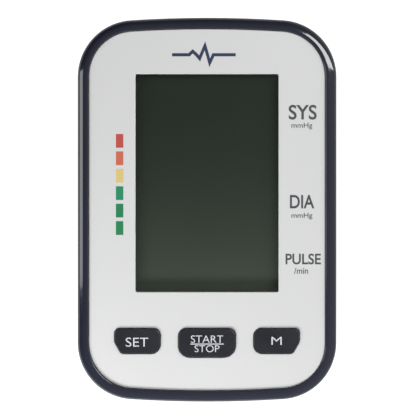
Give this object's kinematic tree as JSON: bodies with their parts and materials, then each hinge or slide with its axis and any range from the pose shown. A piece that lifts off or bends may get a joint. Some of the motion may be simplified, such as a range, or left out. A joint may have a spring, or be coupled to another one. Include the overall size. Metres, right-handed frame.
{
  "type": "blood pressure monitor",
  "caption": "Upright rounded case with a glossy dark bezel, pale face plate, tall display window and a row of push keys; air socket, adapter jack and hinged battery door.",
  "frame": {"origin": "on the table, in the plane of the feet's undersides, under the middle of the case", "axes": "+X to the user's right, +Y from the keys to the top of the display, +Z out of the face"},
  "size_m": [0.098, 0.1454, 0.046],
  "materials": {
    "navy_gloss": "polished moulded shell",
    "navy_matte": "fine spark-eroded texture",
    "silver_face": "satin silver-white paint",
    "clear_acrylic": "clear, hard-coated",
    "charcoal_keys": "satin",
    "white_silicone": "translucent",
    "carbon": "matte",
    "lcd_glass": "clear",
    "lcd_film": "dark green-grey film",
    "reflector_film": "silvered film",
    "zebra_rubber": "striped elastomer",
    "frame_plastic": "as moulded",
    "board_laminate": "green solder mask",
    "component_black": "moulded epoxy",
    "component_metal": "satin",
    "capacitor_sleeve": "sleeved can",
    "header_nylon": "as moulded",
    "steel": "zinc-plated",
    "nickel": "nickel-plated",
    "acetal": "as moulded",
    "black_rubber": "matte",
    "tube_silicone": "translucent",
    "copper_winding": "enamelled copper wire",
    "socket_black": "satin",
    "cell_wrap": "printed sleeve",
    "lead_sleeve": "PVC sleeve"
  },
  "bodies": {
    "monitor": {"upper_case": "navy_gloss", "lower_case": "navy_matte", "face_plate": "silver_face", "display_window": "clear_acrylic", "set_dome": "white_silicone", "start_stop_dome": "white_silicone", "memory_dome": "white_silicone", "rubber_feet": "black_rubber", "lcd_rear_glass": "lcd_glass", "lcd_front_glass": "lcd_glass", "lcd_polariser": "lcd_film", "lcd_reflector": "reflector_film", "zebra_strips": "zebra_rubber", "lcd_frame": "frame_plastic", "main_board": "board_laminate", "board_screws": "steel", "microcontroller": "component_black", "memory_chip": "component_black", "crystal": "component_metal", "buzzer": "component_black", "capacitors": "capacitor_sleeve", "wire_headers": "header_nylon", "pressure_sensor": "acetal", "air_manifold": "acetal", "pump_tube": "tube_silicone", "socket_tube": "tube_silicone", "valve_tube": "tube_silicone", "sensor_tube": "tube_silicone", "air_socket": "socket_black", "air_socket_gasket": "black_rubber", "pump_motor_can": "steel", "pump_motor_end_cap": "component_black", "pump_base": "acetal", "pump_wobble_plate": "acetal", "pump_diaphragm": "black_rubber", "pump_head": "acetal", "pump_cushion": "black_rubber", "valve_frame": "steel", "valve_coil": "copper_winding", "valve_cap": "acetal", "dc_jack": "component_black", "dc_jack_pin": "nickel", "battery_cell_1": "cell_wrap", "battery_cell_2": "cell_wrap", "battery_cell_3": "cell_wrap", "battery_cell_4": "cell_wrap", "battery_springs": "nickel", "battery_contacts": "nickel", "case_screws": "steel", "wire_leads": "lead_sleeve"},
    "set_key": {"set_button": "charcoal_keys", "set_contact_pill": "carbon"},
    "start_stop_key": {"start_stop_button": "charcoal_keys", "start_stop_contact_pill": "carbon"},
    "memory_key": {"memory_button": "charcoal_keys", "memory_contact_pill": "carbon"},
    "door": {"battery_door": "navy_matte"},
    "pump_shaft": {"pump_rotor": "component_metal", "pump_crank": "acetal"},
    "plunger": {"valve_plunger": "steel"}
  },
  "joints": [
    {"name": "set_press", "type": "slide", "parent": "monitor", "child": "set_key", "axis": [0, 0, -1], "range_m": [0, 0.0009], "stiffness_N_per_m": 1500, "springref_m": -0.0002, "deforming": ["set_dome"]},
    {"name": "start_stop_press", "type": "slide", "parent": "monitor", "child": "start_stop_key", "axis": [0, 0, -1], "range_m": [0, 0.0009], "stiffness_N_per_m": 1500, "springref_m": -0.0002, "deforming": ["start_stop_dome"]},
    {"name": "memory_press", "type": "slide", "parent": "monitor", "child": "memory_key", "axis": [0, 0, -1], "range_m": [0, 0.0009], "stiffness_N_per_m": 1500, "springref_m": -0.0002, "deforming": ["memory_dome"]},
    {"name": "door_hinge", "type": "hinge", "parent": "monitor", "child": "door", "pos_m": [0, 0.0056, 0.0027], "axis": [1, 0, 0], "range_deg": [0, 85]},
    {"name": "pump_spin", "type": "hinge", "parent": "monitor", "child": "pump_shaft", "pos_m": [-0.02, 0.023, 0.0185], "axis": [1, 0, 0], "continuous": true},
    {"name": "valve_stroke", "type": "slide", "parent": "monitor", "child": "plunger", "axis": [0, -1, 0], "range_m": [0, 0.00075], "stiffness_N_per_m": 400, "springref_m": -0.0004}
  ]
}
